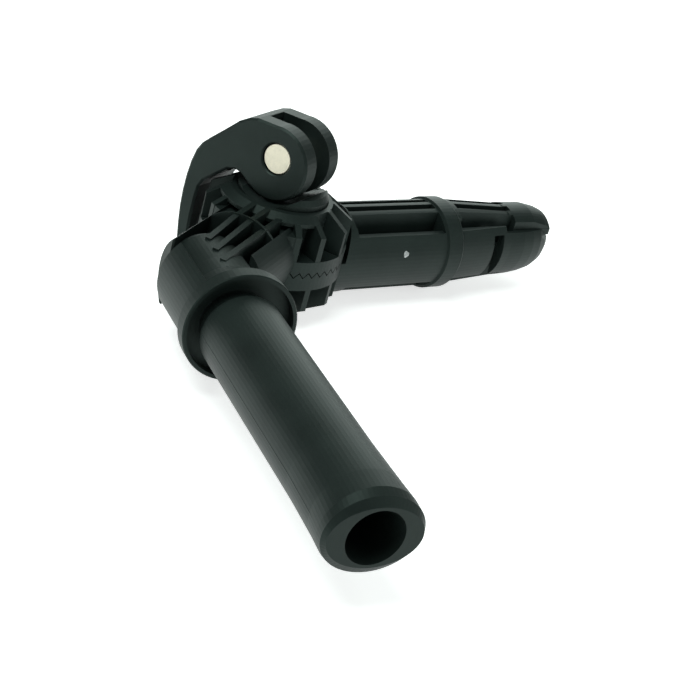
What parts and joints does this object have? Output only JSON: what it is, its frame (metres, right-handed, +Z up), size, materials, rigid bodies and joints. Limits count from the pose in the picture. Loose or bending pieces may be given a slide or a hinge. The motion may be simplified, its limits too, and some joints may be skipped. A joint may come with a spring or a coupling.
{
  "type": "lockable angle joint",
  "caption": "Adjustable angle joint: a round tube arm and a ribbed plug arm meet in a face-toothed hub clamped by a quick-release cam lever.",
  "frame": {"origin": "on the hub's axis, in the underside of the base cap", "axes": "+Z up along the hub's axis towards the cam lever; the tube arm's open end points along -Y"},
  "size_m": [0.1735, 0.1969, 0.0618],
  "materials": {
    "black_nylon": "satin moulded glass-filled nylon",
    "black_lever": "satin moulded glass-filled nylon",
    "nickel_steel": "turned end face, nickel plated",
    "zinc_steel": "bright zinc plate",
    "spring_steel": "drawn wire"
  },
  "bodies": {
    "tube_side": {"tube_arm": "black_nylon", "cam_saddle": "black_lever", "release_spring": "spring_steel"},
    "clamp": {"clamp_bolt": "zinc_steel", "bolt_washer": "zinc_steel", "barrel_nut": "nickel_steel"},
    "lever": {"cam_lever": "black_lever"},
    "plug_side": {"plug_arm": "black_nylon", "base_cap": "black_nylon"}
  },
  "joints": [
    {"name": "release_lift", "type": "slide", "parent": "tube_side", "child": "clamp", "axis": [0, 0, -1], "range_m": [0, 0.002], "deforming": ["release_spring"]},
    {"name": "lever_swing", "type": "hinge", "parent": "clamp", "child": "lever", "pos_m": [0, 0, 0.0512], "axis": [0.8049, 0.5934, 0], "range_deg": [0, 100]},
    {"name": "angle_turn", "type": "hinge", "parent": "clamp", "child": "plug_side", "pos_m": [0, 0, 0], "axis": [0, 0, 1], "range_deg": [-64, 48]}
  ],
  "couplings": [
    {"joint": "release_lift", "follows": "lever_swing", "m_per_rad": 0.0011459}
  ]
}
